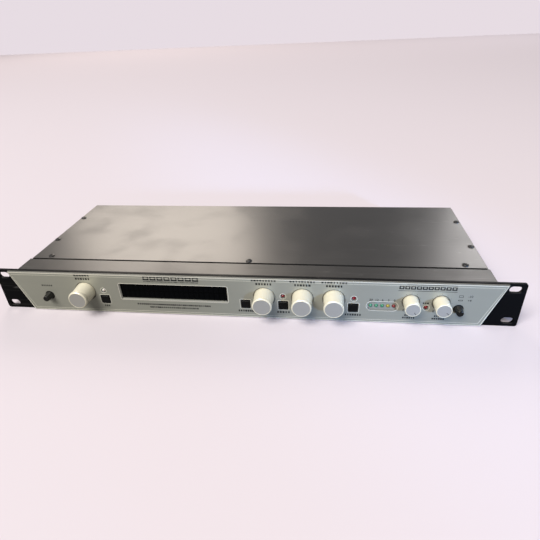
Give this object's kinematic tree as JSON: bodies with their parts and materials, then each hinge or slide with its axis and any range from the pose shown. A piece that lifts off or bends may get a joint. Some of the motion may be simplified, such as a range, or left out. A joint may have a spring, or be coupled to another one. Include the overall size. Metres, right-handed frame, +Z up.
{
  "type": "rack effects unit",
  "caption": "One-unit 19-inch rack effects processor: slant-ended metal fascia, turning knobs, push keys, display window, lamp meter, and a screwed cover over a sheet-metal case.",
  "frame": {"origin": "centre of the bounding box in X and Y, at the height of the front panel's lower edge", "axes": "+Y runs from the front controls to the rear sockets, +X to the right as seen from the front, +Z up"},
  "size_m": [0.4826, 0.1878, 0.0444],
  "materials": {
    "black_paint": "satin black paint",
    "case_paint": "semi-gloss charcoal paint, fine grain",
    "fascia_metal": "satin silver, bright chamfers",
    "knob_silver": "satin warm-silver paint on plastic",
    "black_plastic": "black moulded plastic",
    "lens_black": "dark smoked lens, glossy",
    "screw_steel": "black-zinc plated",
    "shaft_steel": "turned steel",
    "board_green": "green solder mask",
    "bright_metal": "bright plated steel",
    "lamp_red": "red diffused epoxy",
    "lamp_green": "green diffused epoxy",
    "lamp_yellow": "yellow diffused epoxy",
    "lamp_clear": "clear diffused epoxy",
    "grey_cable": "grey flat cable"
  },
  "bodies": {
    "unit": {"front_panel": "black_paint", "heat_sink": "black_paint", "chassis_tray": "case_paint", "rear_panel": "case_paint", "top_cover": "case_paint", "fascia_plate": "fascia_metal", "meter_led_holder": "black_plastic", "display_module": "black_plastic", "input_jack_left": "black_plastic", "input_jack_right": "black_plastic", "output_jack_left": "black_plastic", "output_jack_right": "black_plastic", "midi_socket_block": "black_plastic", "power_jack": "black_plastic", "display_window": "lens_black", "cover_screw_front_left": "screw_steel", "cover_screw_front_middle": "screw_steel", "cover_screw_front_right": "screw_steel", "cover_screw_left_near": "screw_steel", "cover_screw_left_far": "screw_steel", "cover_screw_right_near": "screw_steel", "cover_screw_right_far": "screw_steel", "main_board": "board_green", "front_board": "board_green", "preset_encoder": "bright_metal", "adjust_encoder": "bright_metal", "select_encoder": "bright_metal", "function_encoder": "bright_metal", "input_level_pot": "bright_metal", "output_level_pot": "bright_metal", "power_switch": "bright_metal", "range_switch": "bright_metal", "store_led": "lamp_red", "bypass_led": "lamp_red", "clip_led": "lamp_red", "meter_led_5": "lamp_red", "meter_led_1": "lamp_green", "meter_led_2": "lamp_green", "meter_led_3": "lamp_green", "meter_led_4": "lamp_yellow", "tap_led": "lamp_clear", "ribbon_cable": "grey_cable"},
    "preset_control": {"preset_knob": "knob_silver", "preset_shaft": "shaft_steel"},
    "adjust_control": {"adjust_knob": "knob_silver", "adjust_shaft": "shaft_steel"},
    "select_control": {"select_knob": "knob_silver", "select_shaft": "shaft_steel"},
    "function_control": {"function_knob": "knob_silver", "function_shaft": "shaft_steel"},
    "input_level_control": {"input_level_knob": "knob_silver", "input_level_shaft": "shaft_steel"},
    "output_level_control": {"output_level_knob": "knob_silver", "output_level_shaft": "shaft_steel"},
    "tap_key": {"tap_button": "black_plastic"},
    "compare_key": {"compare_button": "black_plastic"},
    "store_key": {"store_button": "black_plastic"},
    "bypass_key": {"bypass_button": "black_plastic"},
    "power_push": {"power_button": "black_plastic"},
    "range_push": {"range_button": "black_plastic"}
  },
  "joints": [
    {"name": "preset_turn", "type": "hinge", "parent": "unit", "child": "preset_control", "pos_m": [-0.151, -0.08, 0.0238], "axis": [0, 1, 0], "continuous": true},
    {"name": "adjust_turn", "type": "hinge", "parent": "unit", "child": "adjust_control", "pos_m": [0.0207, -0.08, 0.0238], "axis": [0, 1, 0], "continuous": true},
    {"name": "select_turn", "type": "hinge", "parent": "unit", "child": "select_control", "pos_m": [0.0552, -0.08, 0.0238], "axis": [0, 1, 0], "continuous": true},
    {"name": "function_turn", "type": "hinge", "parent": "unit", "child": "function_control", "pos_m": [0.083, -0.08, 0.0238], "axis": [0, 1, 0], "continuous": true},
    {"name": "input_level_turn", "type": "hinge", "parent": "unit", "child": "input_level_control", "pos_m": [0.1491, -0.08, 0.0238], "axis": [0, 1, 0], "range_deg": [-300, 0]},
    {"name": "output_level_turn", "type": "hinge", "parent": "unit", "child": "output_level_control", "pos_m": [0.1743, -0.08, 0.0238], "axis": [0, 1, 0], "range_deg": [-277, 23]},
    {"name": "tap_press", "type": "slide", "parent": "unit", "child": "tap_key", "axis": [0, 1, 0], "range_m": [0, 0.0005], "stiffness_N_per_m": 200, "springref_m": -0.002},
    {"name": "compare_press", "type": "slide", "parent": "unit", "child": "compare_key", "axis": [0, 1, 0], "range_m": [0, 0.0005], "stiffness_N_per_m": 200, "springref_m": -0.002},
    {"name": "store_press", "type": "slide", "parent": "unit", "child": "store_key", "axis": [0, 1, 0], "range_m": [0, 0.0005], "stiffness_N_per_m": 200, "springref_m": -0.002},
    {"name": "bypass_press", "type": "slide", "parent": "unit", "child": "bypass_key", "axis": [0, 1, 0], "range_m": [0, 0.0005], "stiffness_N_per_m": 200, "springref_m": -0.002},
    {"name": "power_press", "type": "slide", "parent": "unit", "child": "power_push", "axis": [0, 1, 0], "range_m": [0, 0.003], "stiffness_N_per_m": 150, "springref_m": -0.004},
    {"name": "range_press", "type": "slide", "parent": "unit", "child": "range_push", "axis": [0, 1, 0], "range_m": [0, 0.003], "stiffness_N_per_m": 150, "springref_m": -0.004}
  ]
}
